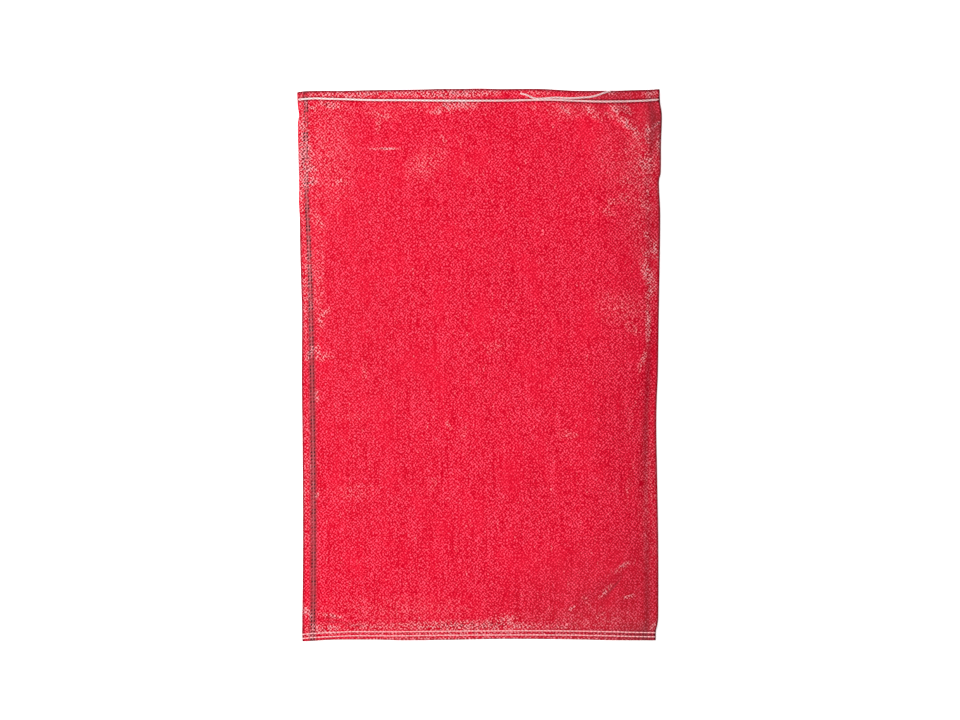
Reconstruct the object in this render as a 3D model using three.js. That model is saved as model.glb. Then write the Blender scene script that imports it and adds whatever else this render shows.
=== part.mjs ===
// A sack woven from flat plastic tape, lying empty on its back with its mouth towards +Y.
// It is one tube of cloth: the mouth's edge is turned inwards as a hem, and at the bottom
// both layers are turned under together, where two rows of stitching close the sack.
// Millimetres, +Z up. The origin is on the surface that the sack lies on, under its middle.
import * as THREE from 'three';
import { LoftGeometry } from 'three/addons/geometries/LoftGeometry.js';

// Driving dimensions
const LENGTH = 1000; // from the folded bottom edge to the mouth
const CLOTH = 1; // thickness of one layer
const MOUTH_HEM = 26; // depth of the edge turned into the mouth
const HEM_GAP = 0.4; // between that turned edge and the wall
const BOTTOM_FOLD = 30; // depth of the layers turned under at the bottom
const FOLD_GAP = 0.4; // between the turned layers and the sack's back
const SEAM_HEIGHT = 17; // the stitching presses the layers together up to here

// Clearance between the front and back layers
const CROWN_GAP = 16; // over the middle of the sack
const MOUTH_GAP = 12; // at the mouth, with the turned edges in it
const SEWN_GAP = 0.3; // in the stitched bottom and in the layers turned under
const CREASE_GAP = 1.2; // inside the folds along the two sides
const MOUTH_CREASE_GAP = 3.4; // inside the side folds where they hold the mouth's hem

// How gently the front panel falls away
const LEFT_FALL = 500; // width of the slope down to the left side fold
const RIGHT_FALL = 130; // and to the right one, which is shorter
const BOTTOM_FALL = 110; // length of the slope down to the bottom seam
const MOUTH_FALL = 160; // length over which the front panel dips to the mouth
const CREASE_FALL = 60; // length over which the side folds open to take the hem
const BACK_LEVEL = BOTTOM_FOLD + 3; // the back lies level on the turned layers up to here
const BACK_FALL = 50; // length over which it then comes down to the surface

// Where the two side folds lie, as the sack was put down: distances along it and across it
const SIDES = [
  { along: 0, left: -322.3, right: 319.2 },
  { along: 15, left: -322.8, right: 319.5 },
  { along: 28, left: -322.6, right: 322.5 },
  { along: 45, left: -322.6, right: 323.9 },
  { along: 170, left: -321.4, right: 324 },
  { along: 300, left: -321.9, right: 321.9 },
  { along: 385, left: -322.6, right: 320.5 },
  { along: 435, left: -323.2, right: 321.2 },
  { along: 480, left: -323.6, right: 323.2 },
  { along: 600, left: -323.4, right: 325.1 },
  { along: 700, left: -326.3, right: 326.8 },
  { along: 770, left: -327.4, right: 327.6 },
  { along: 798, left: -328.9, right: 326.6 },
  { along: 826, left: -328.7, right: 325.2 },
  { along: 847, left: -329.2, right: 328.4 },
  { along: 900, left: -330.2, right: 329 },
  { along: 940, left: -331.1, right: 330.4 },
  { along: 958, left: -328.9, right: 330 },
  { along: 975, left: -331, right: 327.2 },
  { along: 1000, left: -332, right: 326.3 },
];

// How far the mouth's edge and the bottom edge stray from straight lines
const MOUTH_EDGE = [
  { across: -332, stray: -5 },
  { across: -318, stray: -3.2 },
  { across: -300, stray: -2.7 },
  { across: -244, stray: -2.7 },
  { across: -200, stray: -1.8 },
  { across: -108, stray: -0.9 },
  { across: -72, stray: 0.4 },
  { across: 0, stray: 1.4 },
  { across: 90, stray: 0.7 },
  { across: 118, stray: 0.3 },
  { across: 146, stray: -1.4 },
  { across: 173, stray: -2.6 },
  { across: 250, stray: -2.9 },
  { across: 273, stray: -1.9 },
  { across: 305, stray: -0.8 },
  { across: 327, stray: 0.9 },
];
const BOTTOM_EDGE = [
  { across: -323, stray: -1.9 },
  { across: -300, stray: -0.4 },
  { across: -270, stray: 1.3 },
  { across: -185, stray: 1.5 },
  { across: -144, stray: 0.3 },
  { across: -72, stray: 0.9 },
  { across: 0, stray: 2.2 },
  { across: 40, stray: 2.9 },
  { across: 110, stray: 2.6 },
  { across: 200, stray: 1.4 },
  { across: 228, stray: 0.5 },
  { across: 320, stray: 0.1 },
];

// Soft ridges and troughs in the front panel, each along a straight line
const CREASES = [
  { name: 'mouth corner fold', fromX: 235, fromAlong: 963, toX: 307, toAlong: 881, spread: 13, rise: 3 },
  { name: 'fold beside it', fromX: 197, fromAlong: 959, toX: 245, toAlong: 905, spread: 12, rise: 1.6 },
  { name: 'dent in the side', fromX: 325, fromAlong: 827, toX: 291, toAlong: 849, spread: 14, rise: -1.6 },
  { name: 'long trough', fromX: 311, fromAlong: 500, toX: 276, toAlong: 226, spread: 11, rise: -2.4 },
  { name: 'ridge beside it', fromX: 302, fromAlong: 560, toX: 262, toAlong: 237, spread: 12, rise: 1.6 },
  { name: 'bottom corner fold', fromX: 271, fromAlong: 151, toX: 155, toAlong: 54, spread: 15, rise: 2.6 },
];

// Broad places where the front panel stands higher or lower
const SWELLS = [
  { name: 'bottom right corner lies low', x: 300, along: 60, wide: 120, long: 90, rise: -4.5 },
  { name: 'mouth right corner lies low', x: 318, along: 955, wide: 60, long: 70, rise: -3.5 },
  { name: 'lower belly', x: 120, along: 290, wide: 170, long: 130, rise: 1.6 },
  { name: 'upper left belly', x: -150, along: 760, wide: 150, long: 170, rise: 1.4 },
  { name: 'hollow on the right', x: 190, along: 600, wide: 110, long: 150, rise: -1.4 },
  { name: 'hollow on the left', x: -110, along: 480, wide: 90, long: 140, rise: -1 },
  { name: 'mouth lifts left of the middle', x: -90, along: 990, wide: 130, long: 60, rise: 1 },
];

// Fineness of the loft
const FRONT_POINTS = 39; // across the front panel
const EDGE_CROWDING = 0.6; // 0 spaces them evenly, 1 crowds them to the sides
const BACK_POINTS = 8;
const FOLD_POINTS = 3; // round each side fold
const TURN_STEPS = 4; // round the bottom fold and the mouth's edge
const SPANS = [
  { name: 'over the turned layers', end: BACK_LEVEL, rings: 3 },
  { name: 'bottom slope', end: 150, rings: 5 },
  { name: 'middle', end: 790, rings: 12 },
  { name: 'towards the mouth', end: LENGTH - MOUTH_HEM, rings: 7 },
];

// The layers turned under the bottom, and the height that they lift the sack by
const TURNED_LAYERS = 2 * CLOTH + SEWN_GAP;
const LIFT = TURNED_LAYERS + FOLD_GAP;
const TURN_CENTRE = TURNED_LAYERS + FOLD_GAP / 2;
const TURN_RADIUS = FOLD_GAP / 2 + TURNED_LAYERS;
const HEM_RADIUS = CLOTH + HEM_GAP / 2;

const { lerp, clamp, smoothstep } = THREE.MathUtils;

// Reads a table as smooth curves: one for each named column, against the key column.
function curves(rows, key, ...columns) {
  const values = rows.flatMap((row) => columns.map((column) => row[column]));
  const spline = new THREE.CubicInterpolant(rows.map((row) => row[key]), values, columns.length);
  return (position) => [...spline.evaluate(position)];
}

const sidesAt = curves(SIDES, 'along', 'left', 'right');
const mouthStray = curves(MOUTH_EDGE, 'across', 'stray');
const bottomStray = curves(BOTTOM_EDGE, 'across', 'stray');

// A quarter-round rise from 0 to 1 as the distance grows to the reach.
function riseOver(distance, reach) {
  const remaining = 1 - clamp(distance / reach, 0, 1);
  return 1 - remaining * remaining;
}

function creaseHeight(crease, x, along) {
  const runX = crease.toX - crease.fromX;
  const runAlong = crease.toAlong - crease.fromAlong;
  const square = runX * runX + runAlong * runAlong;
  const share = ((x - crease.fromX) * runX + (along - crease.fromAlong) * runAlong) / square;
  const held = clamp(share, 0, 1);
  const away = Math.hypot(x - crease.fromX - held * runX, along - crease.fromAlong - held * runAlong);
  return crease.rise * Math.exp(-((away / crease.spread) ** 2));
}

function swellHeight(swell, x, along) {
  const across = (x - swell.x) / swell.wide;
  const lengthways = (along - swell.along) / swell.long;
  return swell.rise * Math.exp(-across * across - lengthways * lengthways);
}

// Clearance inside the side folds.
function creaseGap(along) {
  const opened = smoothstep(along, LENGTH - MOUTH_HEM - CREASE_FALL, LENGTH - MOUTH_HEM);
  const closed = riseOver(along - SEAM_HEIGHT, BOTTOM_FALL);
  return lerp(SEWN_GAP, lerp(CREASE_GAP, MOUTH_CREASE_GAP, opened), closed);
}

// Clearance between the layers at a place on the front panel.
function gapAt(x, along) {
  const [left, right] = sidesAt(along);
  const crown = lerp(CROWN_GAP, MOUTH_GAP, smoothstep(along, LENGTH - MOUTH_FALL, LENGTH));
  const uneven = [
    ...CREASES.map((crease) => creaseHeight(crease, x, along)),
    ...SWELLS.map((swell) => swellHeight(swell, x, along)),
  ].reduce((sum, height) => sum + height, 0);
  const fromSide = riseOver(x - left, LEFT_FALL) * riseOver(right - x, RIGHT_FALL);
  const fromBottom = riseOver(along - SEAM_HEIGHT, BOTTOM_FALL);
  const edge = creaseGap(along);
  return edge + (crown + uneven - edge) * fromSide * fromBottom;
}

// A point of the cloth: its place across and along, how far it has turned under the bottom
// edge, and its height above the underside of the back layer.
function place(x, along, turn, height) {
  const start = bottomStray(x)[0] + TURN_RADIUS;
  const end = LENGTH + mouthStray(x)[0];
  const radius = FOLD_GAP / 2 + height;
  const lowered = LIFT * smoothstep(along, BACK_LEVEL, BACK_LEVEL + BACK_FALL);
  return new THREE.Vector3(
    x,
    lerp(start, end, along / LENGTH) - Math.sin(turn) * radius,
    TURN_CENTRE + Math.cos(turn) * radius - lowered,
  );
}

// Positions from -1 to 1 across the front panel, closer together towards the sides.
function acrossFront(index) {
  const even = (2 * index) / (FRONT_POINTS - 1) - 1;
  return lerp(even, Math.sin((even * Math.PI) / 2), EDGE_CROWDING);
}

// One ring round the tube, at a depth below its outer face: the front from left to right,
// the right fold, the back from right to left, the left fold.
function ring({ along, turn = 0, depth }) {
  const [left, right] = sidesAt(along);
  const gap = (x) => (turn > 0 ? SEWN_GAP : gapAt(x, along));
  const radius = CLOTH + gap(left) / 2;
  const inner = radius - depth;
  const firstX = left + radius;
  const lastX = right - radius;
  const points = [];
  for (let i = 0; i < FRONT_POINTS; i++) {
    const x = lerp(firstX, lastX, (acrossFront(i) + 1) / 2);
    const edgeX = lerp(left, right, (acrossFront(i) + 1) / 2);
    points.push(place(x, along, turn, 2 * CLOTH + gap(edgeX) - depth));
  }
  const fold = (centreX, side) => {
    for (let i = 1; i <= FOLD_POINTS; i++) {
      const angle = (i * Math.PI) / (FOLD_POINTS + 1);
      const x = centreX + side * inner * Math.sin(angle);
      points.push(place(x, along, turn, radius + side * inner * Math.cos(angle)));
    }
  };
  fold(lastX, 1);
  for (let i = 0; i < BACK_POINTS; i++) {
    points.push(place(lerp(lastX, firstX, i / (BACK_POINTS - 1)), along, turn, depth));
  }
  fold(firstX, -1);
  return points;
}

// The rings of one face of the wall, from the cut edge under the bottom up to the hem.
function wallRings(depth) {
  const rings = [{ along: BOTTOM_FOLD, turn: Math.PI, depth }];
  for (let i = 0; i <= TURN_STEPS; i++) {
    rings.push({ along: 0, turn: Math.PI * (1 - i / TURN_STEPS), depth });
  }
  let start = 0;
  for (const span of SPANS) {
    for (let i = 1; i <= span.rings; i++) {
      rings.push({ along: lerp(start, span.end, i / span.rings), depth });
    }
    start = span.end;
  }
  return rings;
}

// The rings over the mouth's edge, down the inside of the hem, round its cut edge and up again.
function hemRings() {
  const foldStart = LENGTH - HEM_RADIUS;
  const deep = LENGTH - MOUTH_HEM;
  const middle = LENGTH - MOUTH_HEM / 2;
  const innerFace = 2 * CLOTH + HEM_GAP;
  const outerFace = CLOTH + HEM_GAP;
  const rings = [{ along: middle, depth: 0 }];
  for (let i = 0; i <= TURN_STEPS; i++) {
    const angle = (i * Math.PI) / TURN_STEPS;
    const along = foldStart + HEM_RADIUS * Math.sin(angle);
    rings.push({ along, depth: HEM_RADIUS * (1 - Math.cos(angle)) });
  }
  rings.push({ along: middle, depth: innerFace });
  rings.push({ along: deep, depth: innerFace });
  rings.push({ along: deep, depth: outerFace });
  rings.push({ along: middle, depth: outerFace });
  rings.push({ along: foldStart, depth: outerFace });
  rings.push({ along: foldStart, depth: CLOTH });
  rings.push({ along: middle, depth: CLOTH });
  return rings;
}

// The cloth: up the outside, through the hem, back down the inside to the cut edge.
function clothGeometry() {
  const outside = wallRings(0);
  const inside = wallRings(CLOTH).reverse();
  const sections = [...outside, ...hemRings(), ...inside, outside[0]].map(ring);
  const geometry = new LoftGeometry(sections);
  geometry.computeBoundingBox();
  const middle = geometry.boundingBox.getCenter(new THREE.Vector3());
  geometry.translate(-middle.x, -middle.y, -geometry.boundingBox.min.z);
  return geometry;
}

const redTape = new THREE.MeshStandardMaterial({ color: 0xe02843, roughness: 0.5, metalness: 0 });

const cloth = new THREE.Mesh(clothGeometry(), redTape);
cloth.name = 'sack_cloth';

const sack = new THREE.Group();
sack.add(cloth);

export default sack;
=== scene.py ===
import math

import bmesh
import bpy
from mathutils import Matrix, Vector, noise


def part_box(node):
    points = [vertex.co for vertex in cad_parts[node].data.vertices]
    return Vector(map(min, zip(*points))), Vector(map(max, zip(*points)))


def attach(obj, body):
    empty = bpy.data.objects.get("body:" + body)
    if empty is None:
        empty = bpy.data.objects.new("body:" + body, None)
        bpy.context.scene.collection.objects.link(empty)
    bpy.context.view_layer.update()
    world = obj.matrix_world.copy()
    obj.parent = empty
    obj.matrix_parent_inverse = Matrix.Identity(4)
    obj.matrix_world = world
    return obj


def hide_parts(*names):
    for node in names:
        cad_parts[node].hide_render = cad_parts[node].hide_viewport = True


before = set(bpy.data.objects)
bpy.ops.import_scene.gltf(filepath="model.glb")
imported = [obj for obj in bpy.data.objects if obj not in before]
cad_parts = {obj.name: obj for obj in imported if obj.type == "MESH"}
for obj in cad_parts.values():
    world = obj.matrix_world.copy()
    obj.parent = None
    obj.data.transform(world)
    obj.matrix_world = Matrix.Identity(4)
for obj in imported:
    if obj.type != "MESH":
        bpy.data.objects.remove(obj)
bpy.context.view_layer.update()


# The sack's cloth
# One tube of flat red plastic tape, woven in the round and laid flat on its back. Its mouth is
# turned in once as a hem, and at the bottom both layers are turned under together.
LENGTH = 1.0
HALF_ROUND = 0.65  # lay-flat width, half of the way round the tube
WALL = 0.001  # wall of the solid that the sheet lies in
SHEET = 0.0005  # thickness of the tape cloth
RESTS_ON_THREADS = 0.0005  # the thread under the sack keeps the cloth this far off the floor
MOUTH_HEM = 0.026
HEM_GAP = 0.0004
BOTTOM_FOLD = 0.030
FOLD_GAP = 0.0004
SEAM_HEIGHT = 0.017  # up to here the layers are sewn together

# Clearances between the layers, over the sack, at the mouth, in the seam and at the side folds.
CROWN_GAP = 0.016
MOUTH_GAP = 0.012
SEWN_GAP = 0.0003
CREASE_GAP = 0.0012
MOUTH_CREASE_GAP = 0.0034

# How far in from each edge the front still rises, and where the back comes down to the floor.
LEFT_FALL = 0.500
RIGHT_FALL = 0.130
BOTTOM_FALL = 0.110
MOUTH_FALL = 0.160
CREASE_FALL = 0.060
BACK_LEVEL = BOTTOM_FOLD + 0.003
BACK_FALL = 0.050


def table(columns, rows):
    """Rows of values under the names of their columns."""
    return [dict(zip(columns.split(), row)) for row in rows]


# The outline: where the side folds lie at each row, and how far the mouth's and the bottom's edges
# stray from straight lines.
SIDES = table("along left right", [
    (0.000, -0.3223, 0.3192),
    (0.015, -0.3228, 0.3195),
    (0.028, -0.3226, 0.3225),
    (0.045, -0.3226, 0.3239),
    (0.170, -0.3214, 0.3240),
    (0.300, -0.3219, 0.3219),
    (0.385, -0.3226, 0.3205),
    (0.435, -0.3232, 0.3212),
    (0.480, -0.3236, 0.3232),
    (0.600, -0.3234, 0.3251),
    (0.700, -0.3263, 0.3268),
    (0.770, -0.3274, 0.3276),
    (0.798, -0.3289, 0.3266),
    (0.826, -0.3287, 0.3252),
    (0.836, -0.3290, 0.3256),
    (0.847, -0.3292, 0.3284),
    (0.900, -0.3302, 0.3290),
    (0.940, -0.3311, 0.3304),
    (0.958, -0.3289, 0.3300),
    (0.975, -0.3310, 0.3272),
    (1.000, -0.3320, 0.3263),
])
MOUTH_EDGE = table("across stray", [
    (-0.332, -0.0050),
    (-0.318, -0.0032),
    (-0.300, -0.0027),
    (-0.244, -0.0027),
    (-0.200, -0.0018),
    (-0.108, -0.0009),
    (-0.072, 0.0000),
    (-0.036, 0.0000),
    (0.000, 0.0006),
    (0.036, -0.0002),
    (0.072, 0.0000),
    (0.108, 0.0000),
    (0.146, -0.0021),
    (0.173, -0.0034),
    (0.250, -0.0029),
    (0.273, -0.0019),
    (0.305, -0.0008),
    (0.327, 0.0009),
])
BOTTOM_EDGE = table("across stray", [
    (-0.323, -0.0019),
    (-0.300, -0.0004),
    (-0.270, 0.0013),
    (-0.185, 0.0015),
    (-0.144, 0.0003),
    (-0.072, 0.0009),
    (0.000, 0.0022),
    (0.040, 0.0029),
    (0.110, 0.0026),
    (0.200, 0.0014),
    (0.228, 0.0005),
    (0.320, 0.0001),
])

# Soft ridges and troughs of the front, each along a line: the main ones are in the solid too.
CREASES = table("what start end spread rise", [
    ("mouth corner fold", (0.249, 0.965), (0.319, 0.883), 0.013, 0.0030),
    ("fold beside it", (0.203, 0.961), (0.251, 0.907), 0.012, 0.0012),
    ("dent in the side", (0.325, 0.827), (0.291, 0.849), 0.014, -0.0016),
    ("long trough", (0.314, 0.500), (0.300, 0.226), 0.011, -0.0024),
    ("short trough", (0.297, 0.472), (0.281, 0.334), 0.005, -0.0008),
    ("ridge beside it", (0.304, 0.560), (0.284, 0.300), 0.012, 0.0012),
    ("bottom corner fold", (0.271, 0.151), (0.155, 0.054), 0.015, 0.0016),
    ("small mouth fold", (0.133, 0.979), (0.160, 0.954), 0.005, 0.0008),
    ("next mouth fold", (0.168, 0.972), (0.226, 0.903), 0.006, 0.0008),
    ("thin corner crease", (0.261, 0.117), (0.225, 0.063), 0.005, -0.0009),
    ("bottom corner puff", (0.250, 0.072), (0.292, 0.092), 0.007, 0.0010),
    ("press mark by the mouth", (-0.206, 0.894), (-0.144, 0.894), 0.004, 0.0006),
    ("upper press mark", (-0.271, 0.404), (-0.150, 0.404), 0.006, 0.0005),
    ("lower press mark", (-0.271, 0.267), (-0.150, 0.267), 0.006, 0.0005),
    ("right press mark", (0.146, 0.376), (0.173, 0.376), 0.005, 0.0005),
])
SWELLS = table("what x along wide long rise", [
    ("bottom right corner lies low", 0.300, 0.060, 0.120, 0.090, -0.0045),
    ("mouth right corner lies low", 0.318, 0.955, 0.060, 0.070, -0.0035),
    ("lower belly", 0.120, 0.290, 0.170, 0.130, 0.0016),
    ("upper left belly", -0.150, 0.760, 0.150, 0.170, 0.0014),
    ("hollow on the right", 0.190, 0.600, 0.110, 0.150, -0.0014),
    ("hollow on the left", -0.110, 0.480, 0.090, 0.140, -0.0010),
    ("mouth lifts", -0.090, 0.990, 0.130, 0.060, 0.0010),
])
UNEVEN = table("what size rise", [
    ("slack in the cloth", 0.110, 0.0007),
    ("ripples", 0.036, 0.00022),
])
MOUTH_SEAM = table("across height", [
    (-0.330, 0.9808),
    (-0.304, 0.9830),
    (-0.282, 0.9824),
    (-0.239, 0.9811),
    (-0.195, 0.9795),
    (-0.150, 0.9793),
    (-0.065, 0.9783),
    (0.044, 0.9783),
    (0.088, 0.9792),
    (0.131, 0.9796),
    (0.175, 0.9779),
    (0.218, 0.9766),
    (0.262, 0.9773),
    (0.305, 0.9793),
    (0.327, 0.9815),
])
SEAM_GROOVE = 0.0005  # how far the mouth's stitches pull the cloth down
SEAM_GROOVE_WIDTH = 0.004
PUCKER = 0.0005
PUCKER_WIDTH = 0.013
PUCKER_LENGTH = 4 * PUCKER_WIDTH
PUCKER_REACH = 0.012
PUCKER_SLICE = 5.0  # of the noise that places the puckers


def lerp(start, end, share):
    return start + (end - start) * share


def clamp(value):
    return min(max(value, 0.0), 1.0)


def smoothstep(value, start, end):
    share = clamp((value - start) / (end - start))
    return share * share * (3 - 2 * share)


def rise_over(distance, reach):
    return 1 - (1 - clamp(distance / reach)) ** 2


def bell(distance, spread):
    return math.exp(-((distance / spread) ** 2))


def curve(rows, key, column):
    """A smooth curve through a table's column, against its key column."""
    places = [row[key] for row in rows]
    values = [row[column] for row in rows]
    last = len(rows) - 1
    slopes = []
    for i in range(last + 1):
        before, after = max(i - 1, 0), min(i + 1, last)
        slopes.append((values[after] - values[before]) / (places[after] - places[before]))

    def value_at(where):
        i = 0
        while i < last - 1 and where > places[i + 1]:
            i += 1
        span = places[i + 1] - places[i]
        share = (where - places[i]) / span
        if not 0 <= share <= 1:
            return values[0 if share < 0 else last]
        rest = 1 - share
        return (
            rest * rest * ((1 + 2 * share) * values[i] + share * span * slopes[i])
            + share * share * ((1 + 2 * rest) * values[i + 1] - rest * span * slopes[i + 1])
        )

    return value_at


left_side = curve(SIDES, "along", "left")
right_side = curve(SIDES, "along", "right")
mouth_stray = curve(MOUTH_EDGE, "across", "stray")
bottom_stray = curve(BOTTOM_EDGE, "across", "stray")
mouth_seam = curve(MOUTH_SEAM, "across", "height")

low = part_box("sack_cloth")[0]
ACROSS = low[0] - min(row["left"] for row in SIDES)
BOTTOM = low[1] - min(row["stray"] for row in BOTTOM_EDGE)
TURNED_LAYERS = 2 * WALL + SEWN_GAP
TURN_RADIUS = TURNED_LAYERS + FOLD_GAP / 2  # of the bottom fold, and its middle's height
LIFT = TURNED_LAYERS + FOLD_GAP


def height_at(x, along):
    """How far up the sack a row of the cloth lies, at a place across."""
    return lerp(bottom_stray(x) + TURN_RADIUS, LENGTH + mouth_stray(x), along / LENGTH)


def row_at(x, height):
    """The row of the cloth that lies that far up the sack, at a place across."""
    start = bottom_stray(x) + TURN_RADIUS
    return LENGTH * (height - start) / (LENGTH + mouth_stray(x) - start)


def line_distance(x, along, start, end):
    """Distance of a place on the front from a straight crease."""
    run = Vector(end) - Vector(start)
    reach = Vector((x, along)) - Vector(start)
    return (reach - run * clamp(reach.dot(run) / run.length_squared)).length


def crease_gap(along):
    """Clearance between the layers at the side folds."""
    opened = smoothstep(along, LENGTH - MOUTH_HEM - CREASE_FALL, LENGTH - MOUTH_HEM)
    gap = lerp(CREASE_GAP, MOUTH_CREASE_GAP, opened)
    return lerp(SEWN_GAP, gap, rise_over(along - SEAM_HEIGHT, BOTTOM_FALL))


def unevenness(x, along):
    """How far a place on the front lies over or under its smooth crown."""
    height = 0.0
    for crease in CREASES:
        distance = line_distance(x, along, crease["start"], crease["end"])
        height += crease["rise"] * bell(distance, crease["spread"])
    for swell in SWELLS:
        distance = math.hypot((x - swell["x"]) / swell["wide"], (along - swell["along"]) / swell["long"])
        height += swell["rise"] * bell(distance, 1)
    for wave in UNEVEN:
        height += wave["rise"] * noise.noise(Vector((x, along, wave["size"])) / wave["size"])
    return height


def gathers(x, along):
    """The cloth's small rise and fall where the stitches draw it in."""
    from_seam = height_at(x, along) - mouth_seam(x)
    waves = noise.noise(Vector((x / PUCKER_WIDTH, along / PUCKER_LENGTH, PUCKER_SLICE)))
    mouth = PUCKER * waves * bell(from_seam, PUCKER_REACH)
    groove = SEAM_GROOVE * bell(from_seam, SEAM_GROOVE_WIDTH)
    bottom = PUCKER * abs(waves) * bell(along - SEAM_HEIGHT - PUCKER_REACH, PUCKER_REACH)
    return mouth - groove + bottom


def front_gap(x, along):
    """Clearance between the layers under a place on the front."""
    crown = lerp(CROWN_GAP, MOUTH_GAP, smoothstep(along, LENGTH - MOUTH_FALL, LENGTH))
    across = rise_over(x - left_side(along), LEFT_FALL) * rise_over(right_side(along) - x, RIGHT_FALL)
    edge = crease_gap(along)
    risen = across * rise_over(along - SEAM_HEIGHT, BOTTOM_FALL)
    return edge + (crown + unevenness(x, along) - edge) * risen + gathers(x, along) * across


def place(x, along, turn, height):
    """A point of the sack at a height over its back's underside, turned round the bottom fold."""
    lowered = LIFT * smoothstep(along, BACK_LEVEL, BACK_LEVEL + BACK_FALL)
    radius = FOLD_GAP / 2 + height
    return Vector((
        ACROSS + x,
        BOTTOM + height_at(x, along) - math.sin(turn) * radius,
        RESTS_ON_THREADS + TURN_RADIUS + math.cos(turn) * radius - lowered,
    ))


def tube_point(part, share, along, turn, depth):
    """A point of the tube that deep in its wall, on its front, right fold, back or left fold."""
    left, right = left_side(along), right_side(along)
    edge = SEWN_GAP if turn > 0 else crease_gap(along)
    radius = WALL + edge / 2
    inner = radius - depth
    swing = share * math.pi
    if part == "front":
        x = lerp(left + radius, right - radius, share)
        gap = SEWN_GAP if turn > 0 else front_gap(lerp(left, right, share), along)
        return place(x, along, turn, 2 * WALL + gap - depth)
    if part == "back":
        return place(lerp(right - radius, left + radius, share), along, turn, depth)
    if part == "right":
        return place(right - radius + inner * math.sin(swing), along, turn, radius + inner * math.cos(swing))
    return place(left + radius - inner * math.sin(swing), along, turn, radius - inner * math.cos(swing))


# The columns run round the tube, and the rows run from the cut edge under the bottom, up the
# sack, over its mouth and down to the hem's cut edge.
FRONT_COLUMNS = 174
BACK_COLUMNS = 16
FOLD_COLUMNS = 6
EDGE_CROWDING = 0.5  # 0 for even columns, 1 for the closest at the folds
FOLD_ARC = 0.0035  # way round one side fold
PANEL_ARC = HALF_ROUND - FOLD_ARC


def crowded(share):
    """A share of a panel's width, with the columns closer together near its folds."""
    even = 2 * share - 1
    return 0.5 + 0.5 * lerp(even, math.sin(even * math.pi / 2), EDGE_CROWDING)


columns = []
for part, count, start, arc in (
    ("front", FRONT_COLUMNS, 0.0, PANEL_ARC),
    ("right", FOLD_COLUMNS, PANEL_ARC, FOLD_ARC),
    ("back", BACK_COLUMNS, HALF_ROUND, PANEL_ARC),
    ("left", FOLD_COLUMNS, HALF_ROUND + PANEL_ARC, FOLD_ARC),
):
    for i in range(count):
        share = crowded(i / count) if part in ("front", "back") else i / count
        columns.append(dict(part=part, share=share, round=start + arc * share))
columns.append(dict(part="left", share=1.0, round=2 * HALF_ROUND))

FLAP_ROWS = 6
TURN_ROWS = 8
HEM_ROWS = 6
HEM_TURN = (WALL + HEM_GAP) / 2
DEPTH = WALL / 2
BODY_SPANS = table("what end rows", [
    ("over the turned layers", BACK_LEVEL, 14),
    ("bottom slope", 0.100, 18),
    ("body", 0.930, 136),
    ("under the hem", LENGTH - DEPTH - HEM_TURN, 28),
])

rows = []
for i in range(FLAP_ROWS):
    along = BOTTOM_FOLD * (1 - i / FLAP_ROWS)
    rows.append(dict(along=along, turn=math.pi, depth=DEPTH, cloth=-along - math.pi * TURN_RADIUS / 2))
for i in range(TURN_ROWS + 1):
    turn = math.pi * (1 - i / TURN_ROWS)
    rows.append(dict(along=0.0, turn=turn, depth=DEPTH, cloth=-turn * TURN_RADIUS / 2))
start = 0.0
for span in BODY_SPANS:
    for i in range(span["rows"]):
        along = lerp(start, span["end"], (i + 1) / span["rows"])
        rows.append(dict(along=along, turn=0.0, depth=DEPTH, cloth=along))
    start = span["end"]
for i in range(1, TURN_ROWS + 1):
    turn = math.pi * i / TURN_ROWS
    rows.append(dict(along=start + HEM_TURN * math.sin(turn), turn=0.0, cloth=start + HEM_TURN * turn,
                     depth=DEPTH + HEM_TURN * (1 - math.cos(turn))))
for i in range(1, HEM_ROWS + 1):
    back = (MOUTH_HEM - DEPTH - HEM_TURN) * i / HEM_ROWS
    rows.append(dict(along=start - back, turn=0.0, cloth=start + back + math.pi * HEM_TURN,
                     depth=DEPTH + 2 * HEM_TURN))

# The warp tapes run straight, where the side folds wander round the tube: the tapes lean towards
# the left fold, this far at the mouth, and don't follow the fold's small bends.
WARP_DRIFT = 0.0062
DRIFT_START = 0.22
DRIFT_END = 0.80
WARP_LINE = table("along left", [
    (0.000, -0.3240),
    (0.127, -0.3230),
    (0.308, -0.3230),
    (0.490, -0.3230),
    (0.671, -0.3242),
    (0.852, -0.3307),
    (0.960, -0.3314),
    (1.000, -0.3328),
])
warp_line = curve(WARP_LINE, "along", "left")
STRIPE_INSET = 0.0186  # of the dark tapes from a side fold, at the bottom

# Where the far panel's dark tapes show through beside the right fold, and how strongly; the band's width and
# strength also hold painted shade of the trough beside the fold.
SHOWN_AND_SHADE_WIDTH = 0.0056
SHOWN_AND_SHADE = table("along inset share", [
    (0.00, 0.0198, 0.45),
    (0.07, 0.0198, 0.45),
    (0.16, 0.0210, 0.34),
    (0.27, 0.0200, 0.36),
    (0.38, 0.0184, 0.46),
    (0.49, 0.0168, 0.40),
    (0.60, 0.0180, 0.24),
    (0.71, 0.0190, 0.34),
    (0.82, 0.0205, 0.26),
    (0.92, 0.0160, 0.42),
    (1.00, 0.0150, 0.42),
])
shown_inset = curve(SHOWN_AND_SHADE, "along", "inset")
band_share = curve(SHOWN_AND_SHADE, "along", "share")


def drift(along):
    """How far round the tube the warp has leaned at a row."""
    return WARP_DRIFT * smoothstep(along, DRIFT_START, DRIFT_END)


def bend(part, share, along):
    """How far the left fold strays from the warp, felt less and less towards the right fold."""
    felt = dict(front=1 - share, right=0.0, back=share, left=1.0)[part]
    return felt * (left_side(along) - warp_line(along))
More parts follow.
